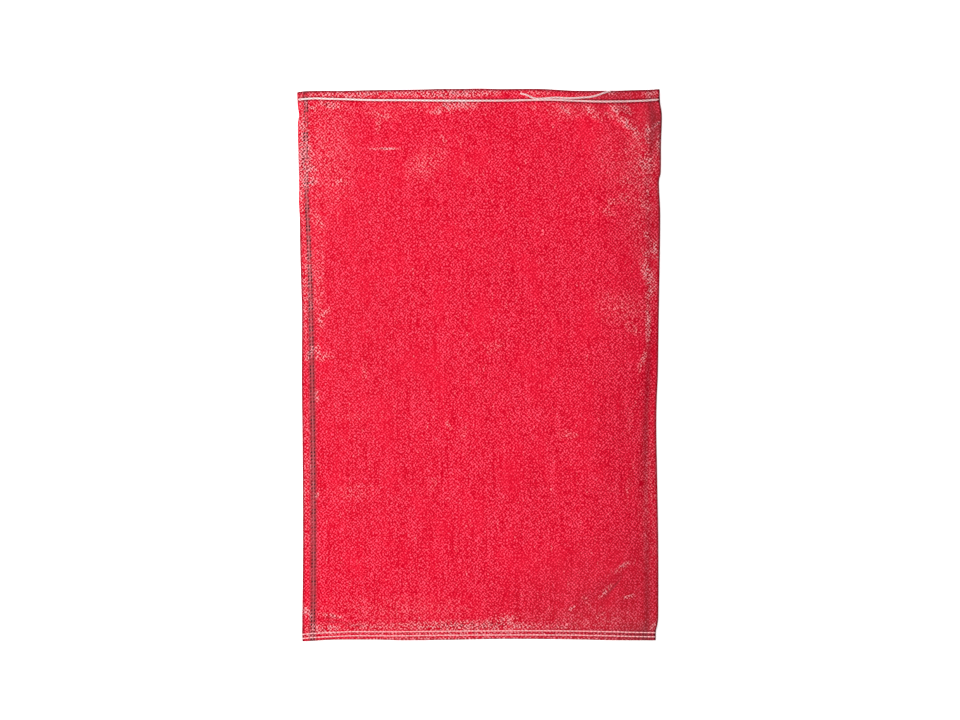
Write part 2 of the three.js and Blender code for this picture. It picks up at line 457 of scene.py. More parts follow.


# Painted shade on the very edge of each side fold, the mouth and the bottom, where the cloth turns away from
# the lamps.
EDGE_SHADE = dict(left=0.70, right=0.70, mouth=0.80, bottom=0.42)
EDGE_SHADE_OUTER = 0.5  # share of that painted shade on the outermost part
EDGE_SHADE_OUTER_WIDTH = 0.0012
EDGE_SHADE_START = 0.0022
EDGE_SHADE_END = 0.0050
LEFT_TOP_SHARE = 0.2  # less painted shade on the left fold near the mouth
LEFT_TOP_START = 0.74
LEFT_TOP_END = 0.80


def painted_edge_shade(x, along, turn):
    """How much painted shade a place gets from the folds and edges near it, from 0 to 1."""
    left_share = lerp(1.0, LEFT_TOP_SHARE, smoothstep(along, LEFT_TOP_START, LEFT_TOP_END))
    unshaded = 1 - EDGE_SHADE["bottom"] * smoothstep(turn, 0.0, 1.0)
    for edge, inset, share in (
        ("left", x - left_side(along), left_share),
        ("right", right_side(along) - x, 1.0),
        ("mouth", LENGTH + mouth_stray(x) - height_at(x, along), 1.0),
    ):
        kept = share * lerp(EDGE_SHADE_OUTER, 1.0, smoothstep(inset, 0.0, EDGE_SHADE_OUTER_WIDTH))
        unshaded *= 1 - EDGE_SHADE[edge] * kept * (1 - smoothstep(inset, EDGE_SHADE_START, EDGE_SHADE_END))
    return 1 - unshaded


# The upper one of the two rows of stitches through the bottom, and how far the lower one is from it.
BOTTOM_SEAM = table("across height", [
    (-0.322, 0.0115),
    (-0.304, 0.0133),
    (-0.260, 0.0156),
    (-0.230, 0.0167),
    (-0.152, 0.0166),
    (-0.065, 0.0175),
    (0.000, 0.0180),
    (0.110, 0.0183),
    (0.197, 0.0174),
    (0.240, 0.0165),
    (0.284, 0.0153),
    (0.319, 0.0148),
])
ROW_GAP = 0.0075
bottom_seam = curve(BOTTOM_SEAM, "across", "height")

SAME_POINT = 0.00002  # the tube's last column meets its first this closely


def keep_mesh(name, shape):
    """The finished shape as a mesh with smooth faces."""
    for face in shape.faces:
        face.smooth = True
    mesh = bpy.data.meshes.new(name)
    shape.to_mesh(mesh)
    shape.free()
    return mesh


def add_object(name, data):
    """A new object of that mesh, lamp or camera, in the scene."""
    made = bpy.data.objects.new(name, data)
    bpy.context.scene.collection.objects.link(made)
    return made


cloth_shape = bmesh.new()
bmesh.ops.create_grid(cloth_shape, x_segments=len(columns) - 1, y_segments=len(rows) - 1, size=0.5)
cloth_uv = cloth_shape.loops.layers.uv.new("cloth")
band_layer = cloth_shape.verts.layers.float.new("dark_tape_behind_and_shade")
edge_shade_layer = cloth_shape.verts.layers.float.new("painted_edge_shade")
mouth_layer = cloth_shape.verts.layers.float.new("over_mouth_seam")
bottom_layer = cloth_shape.verts.layers.float.new("over_bottom_seam")
for vert in cloth_shape.verts:
    column = columns[round((vert.co.x + 0.5) * (len(columns) - 1))]
    row = rows[round((vert.co.y + 0.5) * (len(rows) - 1))]
    part, share, along = column["part"], column["share"], row["along"]
    round_tube = column["round"] + drift(along) + bend(part, share, along)
    for loop in vert.link_loops:
        loop[cloth_uv].uv = (round_tube, row["cloth"])
    vert.co = tube_point(part, share, along, row["turn"], row["depth"])
    x = vert.co.x - ACROSS
    # painted shade of the folds' edges, kept in the mesh
    vert[edge_shade_layer] = painted_edge_shade(x, along, row["turn"])
    vert[mouth_layer] = height_at(x, along) - mouth_seam(x)
    vert[bottom_layer] = height_at(x, along) - bottom_seam(x)
    if part in ("front", "back"):
        from_fold = (1 - share) * PANEL_ARC
        vert[band_layer] = band_share(along) * bell(from_fold - shown_inset(along), SHOWN_AND_SHADE_WIDTH)
bmesh.ops.remove_doubles(cloth_shape, verts=cloth_shape.verts, dist=SAME_POINT)
cloth = add_object("woven_cloth", keep_mesh("sack_cloth_sheet", cloth_shape))
thickness = cloth.modifiers.new("tape_thickness", "SOLIDIFY")
thickness.thickness = SHEET
thickness.offset = 0

# Plain weave: at each crossing either the warp tape or the weft tape is on top. The tapes are flat
# and slack, so their lines bow and waver, and they lie looser in some places than in others.
WARP_TAPES = 416  # round the tube
WEFT_TAPES = 306  # up the sack
WARP_PITCH = 2 * HALF_ROUND / WARP_TAPES
WEFT_PITCH = LENGTH / WEFT_TAPES
BOW = 1.0  # in tapes
WARP_BOW_SIZE = 0.05
WEFT_BOW_SIZE = 0.07
WAVER = 2.0
WARP_WAVER_SIZE = 0.008
WEFT_WAVER_SIZE = 1.13 * WARP_WAVER_SIZE
TAPE_FLATNESS = 6.0
TAPE_RELIEF = 0.00032
TAPE_LEAN = 0.6
SLANT_RUN = 6.0  # crossings in a row, on the slant, that catch the light alike
DEEP_RED = (0.58, 0.0, 0.015, 1)
FULL_RED = (1.00, 0.0, 0.034, 1)
BRIGHT_RED = (1.00, 0.083, 0.150, 1)
UNLIT = -2.45  # the brightness to which the weave's tones add
EVEN_LIGHT = 0.38  # how bright the tapes are where they lie too close to shade each other
CLOSE_SHARE = 0.50  # of that even light, where they lie closest
GLOSS = 0.015
ROUGHNESS = 0.34
ROUGHNESS_SPREAD = 0.14


def fill(node, inputs):
    """Sets a node's inputs to values, or links them to other nodes' outputs."""
    for name, value in inputs.items():
        if isinstance(value, bpy.types.NodeSocket):
            node.id_data.links.new(value, node.inputs[name])
        else:
            node.inputs[name].default_value = value


def add_node(tree, kind, inputs, **settings):
    """The outputs of a new node with those settings, and those inputs by their names or places."""
    node = tree.nodes.new("ShaderNode" + kind)
    for name, value in settings.items():
        setattr(node, name, value)
    fill(node, inputs)
    return node.outputs


def maths(tree, operation, *values):
    return add_node(tree, "Math", dict(enumerate(values)), operation=operation)[0]


def times(tree, first, second):
    return maths(tree, "MULTIPLY", first, second)


def minus(tree, first, second):
    return maths(tree, "SUBTRACT", first, second)


def total(tree, start, *weighed):
    """A sum of values, each with its weight."""
    for value, weight in weighed:
        start = maths(tree, "MULTIPLY_ADD", value, weight, start)
    return start


def choose(tree, share, first, second):
    """The first number, or by that share the second."""
    return add_node(tree, "Mix", {0: share, 2: first, 3: second})[0]


def blend(tree, share, first, second):
    """The first colour, or by that share the second."""
    return add_node(tree, "Mix", {0: share, 6: first, 7: second}, data_type="RGBA")[2]


def scatter(tree, first, second, seed):
    """A number from 0 to 1 for each pair of whole numbers."""
    pair = add_node(tree, "CombineXYZ", {0: first, 1: second, 2: seed})[0]
    return add_node(tree, "TexWhiteNoise", {"Vector": pair}, noise_dimensions="3D")["Value"]


def clouds(tree, vector, wide, long, detail):
    """Soft patches of about that width and length, from 0 to 1."""
    spread = add_node(tree, "Mapping", {"Vector": vector, "Scale": (1 / wide, 1 / long, 1 / wide)})[0]
    return add_node(tree, "TexNoise", {"Vector": spread, "Scale": 1.0, "Detail": detail})["Fac"]


def fade(tree, value, start, end, first, last):
    """The first amount up to the start, the last one from the end on, and eased between them."""
    inputs = dict(enumerate((value, start, end, first, last)))
    return add_node(tree, "MapRange", inputs, interpolation_type="SMOOTHSTEP")[0]


def axes(tree, vector):
    """A vector's X, Y and Z."""
    return add_node(tree, "SeparateXYZ", {0: vector})


def attribute(tree, name):
    return add_node(tree, "Attribute", {}, attribute_name=name)["Fac"]


def emboss(tree, height, relief, strength):
    """The normal of a surface that is raised by a height of 0 to 1."""
    return add_node(tree, "Bump", {"Strength": strength, "Distance": relief, "Height": height})[0]


def new_material(name):
    material = bpy.data.materials.new(name)
    material.use_nodes = True
    tree = material.node_tree
    return material, tree, tree.nodes["Principled BSDF"]


woven, tree, shader = new_material("woven_red_tape")
cloth_place = add_node(tree, "UVMap", {}, uv_map="cloth")[0]
cloth_x, cloth_y, _ = axes(tree, cloth_place)


def tape_line(distance, pitch, bow_size, waver_size):
    """How many tapes lie before a place, on lines that bow and waver."""
    bow = clouds(tree, cloth_place, bow_size, bow_size, detail=1.0)
    waver = clouds(tree, cloth_place, waver_size, waver_size, detail=0.0)
    return total(tree, 0.0, (distance, 1 / pitch), (bow, BOW), (waver, WAVER))


def tape_section(across, along):
    """A tape's height: level across it with its edges turned down, and arched along a crossing."""
    arch = minus(tree, 1.0, times(tree, along, along))
    edge = maths(tree, "POWER", maths(tree, "ABSOLUTE", across), TAPE_FLATNESS)
    return times(tree, arch, minus(tree, 1.0, edge))


def slant_tone(line, along, seed):
    """A tone for each run of crossings on the slant."""
    return scatter(tree, line, maths(tree, "FLOOR", maths(tree, "DIVIDE", along, SLANT_RUN)), seed)


warp = tape_line(cloth_x, WARP_PITCH, WARP_BOW_SIZE, WARP_WAVER_SIZE)
weft = tape_line(cloth_y, WEFT_PITCH, WEFT_BOW_SIZE, WEFT_WAVER_SIZE)
warp_tape = maths(tree, "FLOOR", warp)
weft_tape = maths(tree, "FLOOR", weft)
across_warp = maths(tree, "MULTIPLY_ADD", maths(tree, "FRACT", warp), 2.0, -1.0)
across_weft = maths(tree, "MULTIPLY_ADD", maths(tree, "FRACT", weft), 2.0, -1.0)
rising_line = minus(tree, warp_tape, weft_tape)
falling_line = maths(tree, "ADD", warp_tape, weft_tape)
weft_over = maths(tree, "FLOORED_MODULO", falling_line, 2.0)
warp_height = tape_section(across_warp, across_weft)
weft_height = tape_section(across_weft, across_warp)
tape_height = choose(tree, weft_over, warp_height, weft_height)

warp_tone = scatter(tree, warp_tape, 0.0, seed=1.0)
weft_tone = scatter(tree, 0.0, weft_tape, seed=2.0)
tape_tone = choose(tree, weft_over, warp_tone, weft_tone)
crossing_tone = scatter(tree, warp_tape, weft_tape, seed=3.0)
rising = slant_tone(rising_line, falling_line, seed=6.0)
falling = slant_tone(falling_line, rising_line, seed=7.0)
patches = clouds(tree, cloth_place, wide=0.018, long=0.060, detail=3.0)
warp_streaks = clouds(tree, cloth_place, wide=0.0033, long=0.0120, detail=1.0)
weft_streaks = clouds(tree, cloth_place, wide=0.0120, long=0.0033, detail=1.0)
grain = clouds(tree, cloth_place, wide=0.0029, long=0.0029, detail=0.0)
long_tapes = clouds(tree, cloth_place, wide=0.0031, long=0.120, detail=1.0)
uneven_share = fade(tree, cloth_y, start=0.25, end=0.80, first=1.45, last=0.75)
uneven_warp = times(tree, minus(tree, long_tapes, 0.5), uneven_share)
# The weave's brightness is partly the tapes' own tone, which differs at random, and partly painted light and
# shade of each tape and crossing; where it is highest the tapes turn to a painted pale sheen.
brightness = total(
    tree, UNLIT, (weft_over, -1.40), (grain, 3.20), (warp_streaks, 0.85), (weft_streaks, 0.75),
    (crossing_tone, 0.25), (tape_tone, 0.10), (patches, 0.50), (tape_height, 0.20), (rising, 0.20),
    (falling, 0.20), (uneven_warp, 1.0))
kept_bright = maths(tree, "MAXIMUM", brightness, 0.0)
closeness = clouds(tree, cloth_place, wide=0.045, long=0.090, detail=2.0)
close = fade(tree, closeness, start=0.44, end=0.72, first=0.0, last=CLOSE_SHARE)
light = choose(tree, close, kept_bright, EVEN_LIGHT)
lit_red = blend(tree, light, DEEP_RED, FULL_RED)
colour = blend(tree, times(tree, light, light), lit_red, BRIGHT_RED)

# The far panel's dark tapes show through near the right side, with painted shade of the trough beside the
# fold in the same band.
SHOWN_AND_SHADE_DARK = (0.20, 0.006, 0.012, 1)
colour = blend(tree, attribute(tree, "dark_tape_behind_and_shade"), colour, SHOWN_AND_SHADE_DARK)

# Pale flecks on the hem, the tops of folds and creases, the edges and chance spots: partly rubbed tapes,
# partly painted sheen and glints of tapes tilted towards the lamps. The flecks are pale, in short runs on
# the slant, and it is darker between them. A mark runs from its start to its end, across the sack and up it.
RUB_AND_SHEEN_PINK = (1.00, 0.35, 0.39, 1)
GAP_RED = (0.24, 0.000, 0.008, 1)
GAP_SHARE = 0.95
CHANCE_RUB_AND_SHEEN = 0.20
FLECK_SHARE = 2.20  # of the rub and painted sheen, on the tapes that stand out most
LUCK = 0.45  # how much a slanting run adds to a tape's standing out
MARK_REACH = 1.7  # from a mark's line to its rim, in spreads
MARK = "what start end spread amount"
HEM_RUBS_AND_SHEEN = table(MARK, [
    ("hem on the left", (-0.326, 0.990), (-0.122, 0.991), 0.006, 0.66),
    ("hem in the middle", (-0.150, 0.991), (0.052, 0.993), 0.006, 0.90),
    ("hem right of that", (0.064, 0.992), (0.128, 0.992), 0.006, 0.29),
    ("hem on the right", (0.146, 0.990), (0.291, 0.990), 0.006, 0.11),
    ("hem by the thread's end", (0.234, 0.994), (0.246, 0.992), 0.004, 0.50),
    ("hem's right end", (0.300, 0.990), (0.322, 0.990), 0.006, 0.48),
    ("all along under the hem", (-0.290, 0.970), (0.050, 0.970), 0.012, 0.12),
    ("under the hem, right of that", (0.090, 0.967), (0.106, 0.965), 0.005, 0.20),
    ("under the hem, by the stripe", (-0.308, 0.969), (-0.300, 0.965), 0.005, 0.40),
    ("under the hem, by the fold", (-0.325, 0.982), (-0.318, 0.976), 0.006, 0.55),
    ("under the hem, left end", (-0.290, 0.974), (-0.253, 0.969), 0.005, 0.80),
    ("under the hem, left", (-0.199, 0.954), (-0.150, 0.949), 0.007, 0.26),
    ("streak below that", (-0.184, 0.947), (-0.184, 0.925), 0.004, 0.46),
    ("under the hem, middle", (-0.066, 0.972), (-0.008, 0.972), 0.007, 0.62),
    ("spur of that", (-0.066, 0.974), (-0.050, 0.958), 0.004, 0.55),
    ("beside the spur", (-0.086, 0.958), (-0.070, 0.961), 0.005, 0.45),
    ("press mark by the mouth", (-0.206, 0.8916), (-0.138, 0.8916), 0.0018, 0.75),
    ("upper blotch", (-0.116, 0.852), (-0.078, 0.878), 0.019, 0.19),
    ("right of the blotch", (-0.040, 0.868), (-0.010, 0.845), 0.012, 0.07),
    ("spot over the blotch", (-0.070, 0.914), (-0.061, 0.902), 0.003, 0.34),
    ("second spot over the blotch", (-0.034, 0.911), (-0.034, 0.900), 0.004, 0.12),
])
LEFT_RUBS_AND_SHEEN = table(MARK, [
    ("upper left corner", (-0.280, 0.961), (-0.280, 0.807), 0.042, 0.15),
    ("left side, top", (-0.322, 0.970), (-0.320, 0.816), 0.009, 0.60),
    ("left side, under the top", (-0.317, 0.898), (-0.315, 0.825), 0.011, 0.60),
    ("left edge, top", (-0.327, 0.840), (-0.321, 0.765), 0.005, 0.36),
    ("left spot", (-0.304, 0.857), (-0.300, 0.855), 0.005, 0.60),
    ("left spot under it", (-0.308, 0.833), (-0.302, 0.832), 0.005, 0.85),
    ("left spots over the dark tapes", (-0.301, 0.775), (-0.285, 0.744), 0.007, 0.34),
    ("next left spot", (-0.257, 0.833), (-0.242, 0.831), 0.005, 0.38),
    ("left side, upper half", (-0.316, 0.800), (-0.315, 0.508), 0.011, 0.29),
    ("along the dark tapes", (-0.292, 0.760), (-0.291, 0.550), 0.009, 0.18),
    ("spots on the left side", (-0.292, 0.588), (-0.274, 0.600), 0.006, 0.31),
    ("over half way", (-0.290, 0.582), (-0.286, 0.571), 0.004, 0.40),
    ("left side, half way", (-0.313, 0.510), (-0.302, 0.532), 0.004, 1.00),
    ("beside that", (-0.295, 0.537), (-0.293, 0.513), 0.004, 0.65),
    ("under the half-way rub", (-0.292, 0.512), (-0.270, 0.517), 0.006, 0.38),
    ("left side, lower half", (-0.317, 0.490), (-0.317, 0.073), 0.012, 0.17),
    ("on the dark tapes", (-0.296, 0.452), (-0.294, 0.436), 0.004, 0.50),
    ("streak on the left", (-0.208, 0.503), (-0.208, 0.477), 0.004, 0.23),
    ("upper press mark", (-0.270, 0.408), (-0.190, 0.404), 0.008, 0.06),
    ("lower press mark", (-0.262, 0.268), (-0.199, 0.272), 0.012, 0.11),
    ("spot by the lower mark", (-0.298, 0.261), (-0.293, 0.267), 0.003, 0.58),
])
MIDDLE_RUBS_AND_SHEEN = table(MARK, [
    ("spot in the middle", (-0.059, 0.397), (-0.052, 0.383), 0.004, 0.30),
    ("second spot in the middle", (-0.032, 0.366), (-0.025, 0.392), 0.004, 0.12),
    ("third spot in the middle", (-0.088, 0.274), (-0.077, 0.296), 0.004, 0.13),
    ("blotch in the middle", (0.010, 0.528), (0.042, 0.539), 0.008, 0.14),
    ("right press mark", (0.146, 0.376), (0.168, 0.375), 0.006, 0.18),
    ("spot at its end", (0.173, 0.372), (0.177, 0.372), 0.003, 0.25),
])
MOUTH_CORNER_RUBS_AND_SHEEN = table(MARK, [
    ("first mouth fold", (0.146, 0.970), (0.162, 0.954), 0.002, 0.52),
    ("beside the first mouth fold", (0.128, 0.963), (0.172, 0.960), 0.014, 0.18),
    ("second mouth fold", (0.188, 0.970), (0.217, 0.945), 0.006, 0.58),
    ("end of that fold", (0.228, 0.955), (0.240, 0.948), 0.004, 0.45),
    ("mouth corner fold, top", (0.240, 0.970), (0.249, 0.956), 0.006, 0.66),
    ("between the folds", (0.258, 0.968), (0.272, 0.957), 0.005, 0.50),
    ("mouth corner fold", (0.251, 0.947), (0.280, 0.927), 0.006, 0.78),
    ("mouth corner fold, low", (0.278, 0.927), (0.290, 0.905), 0.006, 0.26),
    ("fold by the side", (0.304, 0.934), (0.304, 0.905), 0.004, 0.80),
    ("arc to the side", (0.313, 0.931), (0.327, 0.941), 0.002, 1.45),
    ("upper right side", (0.290, 0.930), (0.308, 0.790), 0.026, 0.20),
    ("in from the upper right side", (0.235, 0.900), (0.252, 0.835), 0.030, 0.07),
    ("under the upper right side", (0.283, 0.800), (0.298, 0.690), 0.020, 0.08),
    ("edge under the corner", (0.325, 0.925), (0.326, 0.872), 0.004, 0.60),
    ("right edge, upper half", (0.322, 0.760), (0.320, 0.550), 0.005, 0.08),
    ("cluster by the side", (0.302, 0.883), (0.313, 0.856), 0.007, 0.28),
    ("cluster beside it", (0.291, 0.874), (0.300, 0.856), 0.005, 0.40),
    ("by the dent", (0.304, 0.813), (0.308, 0.809), 0.004, 0.36),
    ("under the dent", (0.292, 0.800), (0.304, 0.785), 0.006, 0.27),
    ("spot under the dent", (0.231, 0.793), (0.249, 0.797), 0.006, 0.30),
    ("next spot there", (0.258, 0.806), (0.270, 0.796), 0.006, 0.30),
    ("lower spot there", (0.224, 0.782), (0.238, 0.774), 0.006, 0.30),
    ("higher spot there", (0.256, 0.836), (0.268, 0.826), 0.006, 0.28),
])
RIGHT_RUBS_AND_SHEEN = table(MARK, [
    ("upper side", (0.295, 0.742), (0.309, 0.729), 0.003, 0.80),
    ("side, over half way", (0.315, 0.724), (0.316, 0.700), 0.006, 0.52),
    ("beside the side's rub", (0.298, 0.706), (0.302, 0.698), 0.005, 0.35),
    ("side, half way", (0.296, 0.686), (0.311, 0.645), 0.008, 0.60),
    ("side, under half way", (0.312, 0.650), (0.304, 0.615), 0.006, 0.42),
    ("broad rub on the right", (0.227, 0.608), (0.291, 0.595), 0.022, 0.15),
    ("top of the long ridge", (0.304, 0.620), (0.305, 0.535), 0.004, 0.60),
    ("beside the ridge", (0.270, 0.572), (0.286, 0.560), 0.007, 0.30),
    ("long ridge, high", (0.301, 0.530), (0.288, 0.488), 0.004, 0.48),
    ("long ridge", (0.284, 0.446), (0.264, 0.359), 0.005, 0.06),
    ("foot of the long ridge", (0.280, 0.336), (0.262, 0.239), 0.005, 0.12),
    ("right side, lower half", (0.313, 0.480), (0.311, 0.060), 0.019, 0.11),
])
BOTTOM_RUBS_AND_SHEEN = table(MARK, [
    ("bottom corner fold, high", (0.247, 0.127), (0.269, 0.143), 0.004, 0.46),
    ("bottom corner fold", (0.215, 0.078), (0.238, 0.102), 0.004, 0.48),
    ("bottom corner fold, low", (0.159, 0.056), (0.173, 0.065), 0.003, 0.48),
    ("beside the corner fold", (0.186, 0.082), (0.198, 0.065), 0.004, 0.30),
    ("bottom corner puff", (0.257, 0.078), (0.280, 0.083), 0.003, 0.50),
    ("under the corner fold", (0.211, 0.045), (0.224, 0.051), 0.003, 0.38),
    ("end of the rows", (0.307, 0.020), (0.320, 0.034), 0.002, 0.56),
    ("bottom on the right", (0.080, 0.030), (0.310, 0.030), 0.022, 0.14),
    ("edge of the bottom", (-0.316, 0.003), (0.310, 0.003), 0.003, 0.70),
    ("between the rows", (-0.316, 0.013), (0.310, 0.013), 0.004, 0.40),
    ("between the rows, left end", (-0.316, 0.010), (-0.300, 0.010), 0.004, 0.60),
    ("rows' left end", (-0.318, 0.024), (-0.250, 0.020), 0.007, 0.58),
    ("over the rows, left", (-0.260, 0.025), (-0.140, 0.025), 0.009, 0.25),
    ("over the rows", (-0.170, 0.027), (0.119, 0.027), 0.008, 0.75),
    ("higher over the rows", (0.020, 0.036), (0.070, 0.044), 0.008, 0.36),
    ("over the rows, right", (0.119, 0.025), (0.173, 0.025), 0.005, 0.25),
    ("bottom on the left", (-0.290, 0.058), (0.000, 0.058), 0.018, 0.10),
    ("lower left corner", (-0.320, 0.062), (-0.309, 0.044), 0.006, 0.70),
    ("lower left", (-0.292, 0.049), (-0.248, 0.043), 0.003, 0.66),
])
RUBS_AND_SHEEN = HEM_RUBS_AND_SHEEN + LEFT_RUBS_AND_SHEEN + MIDDLE_RUBS_AND_SHEEN + MOUTH_CORNER_RUBS_AND_SHEEN + RIGHT_RUBS_AND_SHEEN + BOTTOM_RUBS_AND_SHEEN


def mark(tree, lying, row):
    """A long spot on the sack as it lies: 1 in its middle, falling to 0 at its rim."""
    start, end = Vector((*row["start"], 0)), Vector((*row["end"], 0))
    run = end - start
    reach = MARK_REACH * row["spread"]
    turned = add_node(tree, "Mapping", {
        "Vector": lying,
        "Location": Vector((ACROSS, BOTTOM, 0)) + (start + end) / 2,
        "Rotation": (0, 0, math.atan2(run.y, run.x)),
        "Scale": (run.length / 2 + reach, reach, 1),
    }, vector_type="TEXTURE")[0]
    return add_node(tree, "TexGradient", {"Vector": turned}, gradient_type="SPHERICAL")["Fac"]


def marks(tree, lying, rows, start):
    """The amounts of all the marks in a table at a place, on top of a starting amount."""
    for row in rows:
        start = maths(tree, "MULTIPLY_ADD", mark(tree, lying, row), row["amount"], start)
    return start


lying = add_node(tree, "TexCoord", {})["Object"]
chance_spots = clouds(tree, cloth_place, wide=0.006, long=0.022, detail=2.0)
chance = fade(tree, chance_spots, start=0.60, end=0.80, first=0.0, last=CHANCE_RUB_AND_SHEEN)
rub_and_sheen = marks(tree, lying, RUBS_AND_SHEEN, chance)
clumping = clouds(tree, cloth_place, wide=0.006, long=0.006, detail=2.0)
worn_and_sheen = times(tree, rub_and_sheen, fade(tree, clumping, start=0.34, end=0.63, first=0.20, last=1.75))
luck = maths(tree, "POWER", maths(tree, "MAXIMUM", rising, falling), 3.0)
standing_out = total(tree, kept_bright, (luck, LUCK))
heavy = times(tree, worn_and_sheen, worn_and_sheen)
gap = times(tree, heavy, fade(tree, kept_bright, start=0.0, end=0.42, first=GAP_SHARE, last=0.0))
colour = blend(tree, gap, colour, GAP_RED)
# pale flecks: rubbed tapes, and painted sheen and glints where the tapes tilt towards the lamps
shows = fade(tree, standing_out, start=0.30, end=0.92, first=0.0, last=FLECK_SHARE)
fleck = times(tree, worn_and_sheen, shows)
colour = blend(tree, fleck, colour, RUB_AND_SHEEN_PINK)

# Two dark tapes with a paler one between them run up each panel near its left side. They are dark
# where they lie over the weft, clearer in some places than in others, and a shade lies beside them.
MARKER_TAPE = 0.00265  # a little narrower than the red ones
DARK_TAPE = (0.045, 0.005, 0.008, 1)
BROWN_WEFT = (0.34, 0.036, 0.046, 1)  # the red weft over a dark tape
PALE_TAPE = (0.44, 0.080, 0.095, 1)
SHADED_TAPE = (0.12, 0.055, 0.060, 1)
SHADED_SHARE = dict(bottom=0.42, mouth=0.08)
SHADED_START = 0.003
SHADED_END = 0.010
straight_warp = maths(tree, "FLOOR", maths(tree, "DIVIDE", cloth_x, MARKER_TAPE))
straight_weft = maths(tree, "FLOOR", maths(tree, "DIVIDE", cloth_y, WEFT_PITCH))
under_weft = maths(tree, "FLOORED_MODULO", maths(tree, "ADD", straight_warp, straight_weft), 2.0)
dark_dots = blend(tree, under_weft, DARK_TAPE, blend(tree, fleck, BROWN_WEFT, RUB_AND_SHEEN_PINK))
pale_dots = blend(tree, fleck, PALE_TAPE, RUB_AND_SHEEN_PINK)
least_clear = fade(tree, cloth_y, start=0.60, end=0.80, first=0.45, last=0.05)
clearness = clouds(tree, cloth_place, wide=0.012, long=0.012, detail=2.0)
clear = fade(tree, clearness, start=0.36, end=0.60, first=least_clear, last=1.0)
shade = fade(tree, cloth_y, start=0.45, end=0.80, first=SHADED_SHARE["bottom"], last=SHADED_SHARE["mouth"])
for stripe in (STRIPE_INSET, HALF_ROUND + STRIPE_INSET):
    middle = math.floor(stripe / MARKER_TAPE)
    centre = (middle + 0.5) * MARKER_TAPE
    from_centre = maths(tree, "ABSOLUTE", minus(tree, cloth_x, centre))
    shaded = fade(tree, from_centre, start=SHADED_START, end=SHADED_END, first=shade, last=0.0)
    colour = blend(tree, shaded, colour, SHADED_TAPE)
    for tape, tape_colour in ((middle - 1, dark_dots), (middle, pale_dots), (middle + 1, dark_dots)):
        here = maths(tree, "COMPARE", straight_warp, float(tape), 0.5)
        colour = blend(tree, times(tree, here, clear), colour, tape_colour)

# Painted shade: darker in broad patches where the cloth falls away at the corners and down the right side
# and along creases, and darker on the folds' edges and in the dips beside the stitches.
PATCH_SHADE = (0.09, 0.038, 0.042, 1)
EDGE_AND_DIP_SHADE = (0.09, 0.004, 0.010, 1)
FLECK_PATCH_SHADE = 0.25  # of the patches' painted shade, left on a pale fleck
SEAM_DIP = 0.0032  # from a row of stitches
SEAM_DIP_WIDTH = 0.0024
MOUTH_DIP_SHADE = dict(left=0.50, right=0.66)
BOTTOM_DIP_SHADE = dict(left=0.26, right=0.50)
OUTER_SHARE = 0.6  # of that painted shade, outside the two rows
STITCH = 0.0075  # along the mouth
BOTTOM_STITCH = 0.0070
STITCH_SWING = 0.4  # how much the painted shade of a dip swings from stitch to stitch
# Painted shade in patches: at the corners and down the right side where the cloth falls away from the lamps,
# along creases and rows of stitches, and faintly over the left side.
SHADE_PATCHES = table(MARK, [
    ("bottom right corner", (0.20, 0.00), (0.44, 0.00), 0.130, 0.32),
    ("hem on the right", (0.12, 0.988), (0.36, 0.988), 0.017, 0.32),
    ("mouth's right corner", (0.316, 0.970), (0.330, 0.900), 0.018, 0.50),
    ("under the hem there", (0.150, 0.965), (0.330, 0.955), 0.013, 0.14),
    ("upper right side", (0.326, 0.890), (0.326, 0.660), 0.010, 0.20),
    ("end of the rows", (0.262, 0.008), (0.340, 0.008), 0.020, 0.28),
    ("edge of the bottom", (-0.320, 0.002), (0.320, 0.003), 0.003, 0.28),
    ("line over the rows", (-0.288, 0.042), (-0.248, 0.042), 0.0016, 0.36),
    ("line under it", (-0.290, 0.035), (-0.240, 0.034), 0.0016, 0.34),
    ("lowest line", (-0.248, 0.028), (-0.197, 0.027), 0.0016, 0.38),
    ("crease by the corner fold", (0.264, 0.122), (0.216, 0.071), 0.0016, 0.34),
    ("mouth's left corner", (-0.345, 0.995), (-0.305, 0.995), 0.012, 0.22),
    ("left side", (-0.260, 0.150), (-0.260, 0.900), 0.130, 0.06),
])
lying_x = axes(tree, lying)["X"]


def dip(distance, middle, amount, stitch):
    """Painted shade in a dip whose middle is that far from a row, a little more at each stitch."""
    from_dip = maths(tree, "ABSOLUTE", minus(tree, distance, middle))
    swing = maths(tree, "SINE", times(tree, lying_x, 2 * math.pi / stitch))
    deepest = times(tree, amount, total(tree, 1.0, (swing, STITCH_SWING)))
    return fade(tree, from_dip, start=0.0, end=SEAM_DIP_WIDTH, first=deepest, last=0.0)


from_mouth = maths(tree, "ABSOLUTE", attribute(tree, "over_mouth_seam"))
from_bottom = maths(tree, "ABSOLUTE", maths(tree, "ADD", attribute(tree, "over_bottom_seam"), ROW_GAP / 2))
mouth_dip_shade = fade(tree, lying_x, start=0.0, end=0.20, first=MOUTH_DIP_SHADE["left"], last=MOUTH_DIP_SHADE["right"])
bottom_dip_shade = fade(tree, lying_x, start=0.0, end=0.30, first=BOTTOM_DIP_SHADE["left"], last=BOTTOM_DIP_SHADE["right"])
outer_dip_shade = times(tree, bottom_dip_shade, OUTER_SHARE)
# painted shade of the patches, kept lighter on the pale flecks
patch_shade_kept = fade(tree, fleck, start=0.1, end=0.8, first=1.0, last=FLECK_PATCH_SHADE)
patch_shading = times(tree, marks(tree, lying, SHADE_PATCHES, 0.0), patch_shade_kept)
colour = blend(tree, patch_shading, colour, PATCH_SHADE)
